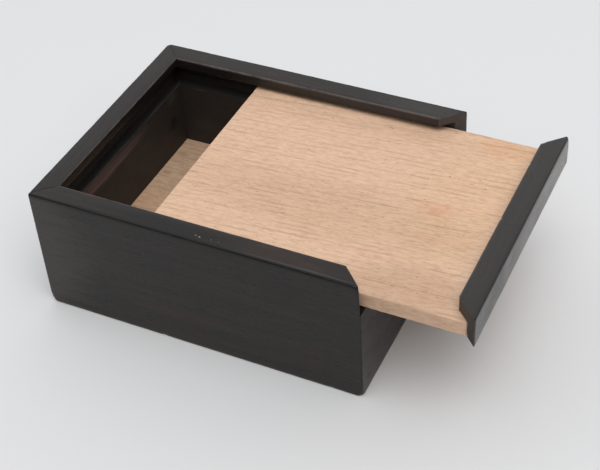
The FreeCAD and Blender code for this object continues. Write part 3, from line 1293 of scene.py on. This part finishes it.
lid_board = panel_board(
    "lid_board",
    "lid_panel",
    round_top=LID_EDGE_ROUND,
    round_bottom=LID_UNDER_EASE,
    ragged=LID_RAGGED,
    step=LID_STEP,
    dents=make_dents(lid_low, lid_high, seed=15, count=18),
    plan_round=LID_CORNER_ROUND,
)
HANDLED = (0.90, 0.885, 0.86, 1)
# Painted light: brightens the lid along the far lip, against the shade the lip throws.
PAINTED_LIGHT_BY_LIP = (1.22, 1.22, 1.23, 1)
SHADED = (0.81, 0.79, 0.78, 1)
ROSY = (0.98, 0.88, 0.86, 1)
OCHRE = (1.0, 0.97, 0.92, 1)
BROWNED = (0.95, 0.90, 0.83, 1)
COOL = (1.07, 1.10, 1.16, 1)
DARK_KNOT = (0.4, 0.35, 0.3, 1)
BROWN_KNOT = (0.45, 0.38, 0.33, 1)
LID_TOP = lid_high.z / MM
LID_PATCHES = [
    # Broad changes of colour: darker where it is handled, painted light along the far edge
    # that brightens away the far lip's shade, and warmer and cooler in turn towards the strip.
    ((38, -12, LID_TOP), (95, 21, 10), HANDLED, 1.0, 0.5),
    ((12, 44, LID_TOP), (70, 7, 10), PAINTED_LIGHT_BY_LIP, 1.0, 0.4),
    ((76, -39, LID_TOP), (30, 16, 10), SHADED, 1.0, 0.4),
    ((70, 1, LID_TOP), (10, 5, 10), ROSY, 0.8, 0.8),
    ((80, 10, LID_TOP), (30, 50, 10), OCHRE, 0.8, 0.4),
    ((82, 42, LID_TOP), (17, 9, 10), BROWNED, 1.0, 0.6),
    ((95, -14, LID_TOP), (9, 36, 10), COOL, 1.0, 0.3),
    # Pin knots.
    ((38.3, 38.6, LID_TOP), (1.3, 0.45, 1), DARK_KNOT, 0.8, 0.8),
    ((68.1, 19.6, LID_TOP), (0.8, 0.4, 1), BROWN_KNOT, 0.8, 0.8),
    ((81.9, 17.6, LID_TOP), (0.7, 0.5, 1), BROWN_KNOT, 0.8, 0.8),
]
finish_piece(
    lid_board,
    make_pale_wood(
        "pale_wood_lid",
        turn=LID_GRAIN_TURN,
        shift=(0.1, 0.5, 0.3),
        line_strength=0.62,
        fleck_share=0.08,
        patches=LID_PATCHES,
    ),
    "lid_panel",
    "lid",
)

# ---------------------------------------------------------------- lid strip
# The top of the front wall, sawn off and glued over the lid panel's end: a lip above
# the panel to pull by, and a skirt before its end. Both its ends are mitred.

MITRE_GAP = 0.4 * MM
SKIRT = 3.8 * MM
REBATE_ROUND = 0.05 * MM
SKIRT_EASE = 0.15 * MM
STRIP_NEAR_CORNER = 1.2 * MM
STRIP_FAR_CORNER = 2.6 * MM
STRIP_RUN = BOX_WIDTH - 2 * MITRE_GAP
# A painted sheen on the strip's outer face.
PAINTED_SHEEN = (0.128, 0.114, 0.103, 1)
STRIP_END = (0.020, 0.019, 0.018, 1)

strip_low, strip_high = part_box("lid_strip")


def strip_place(x, depth, z):
    """Depth runs inwards from the strip's outer face, and X along Y."""
    return Vector((strip_high.x - depth, x, z))


strip_outline = rounded_outline(
    [
        (0, strip_low.z, EDGE_EASE, 1),
        (0, strip_high.z, RIM_ROUND, -1),
        (WALL, strip_high.z, EDGE_EASE, 1),
        (WALL, lid_high.z, SAWN_EDGE, 0.3),
        (SKIRT, lid_high.z, REBATE_ROUND, 0),
        (SKIRT, strip_low.z, SKIRT_EASE, 0.3),
    ]
)
lid_strip_board = mitred_board(
    "pull_strip",
    STRIP_RUN,
    strip_outline,
    strip_place,
    glued_below=0,
    raw_below=lid_high.z,
    dents=make_dents(
        low=(strip_low.x, -STRIP_RUN / 2, strip_low.z),
        high=strip_high,
        seed=16,
        count=12,
    ),
    rubbed={-1: STRIP_NEAR_CORNER, 1: STRIP_FAR_CORNER},
)
STRIP_FACE = strip_high.x / MM
STRIP_PATCHES = [
    # The face is painted pale, most of all at its far end: a painted sheen of the bright room.
    ((STRIP_FACE, 62, 46), (1.5, 70, 30), PAINTED_SHEEN, 0.8, 0.7),
    ((STRIP_FACE, 5, 46), (1.5, 34, 30), PAINTED_SHEEN, 0.22, 1.2),
]
finish_piece(
    lid_strip_board,
    make_dark_wood(
        "dark_wood_strip",
        turn=math.pi / 2,
        shift=(0.93, 0.11, 0.27),
        patches=STRIP_PATCHES,
        shine=0.5,
        end=STRIP_END,
    ),
    "lid_strip",
    "lid",
)
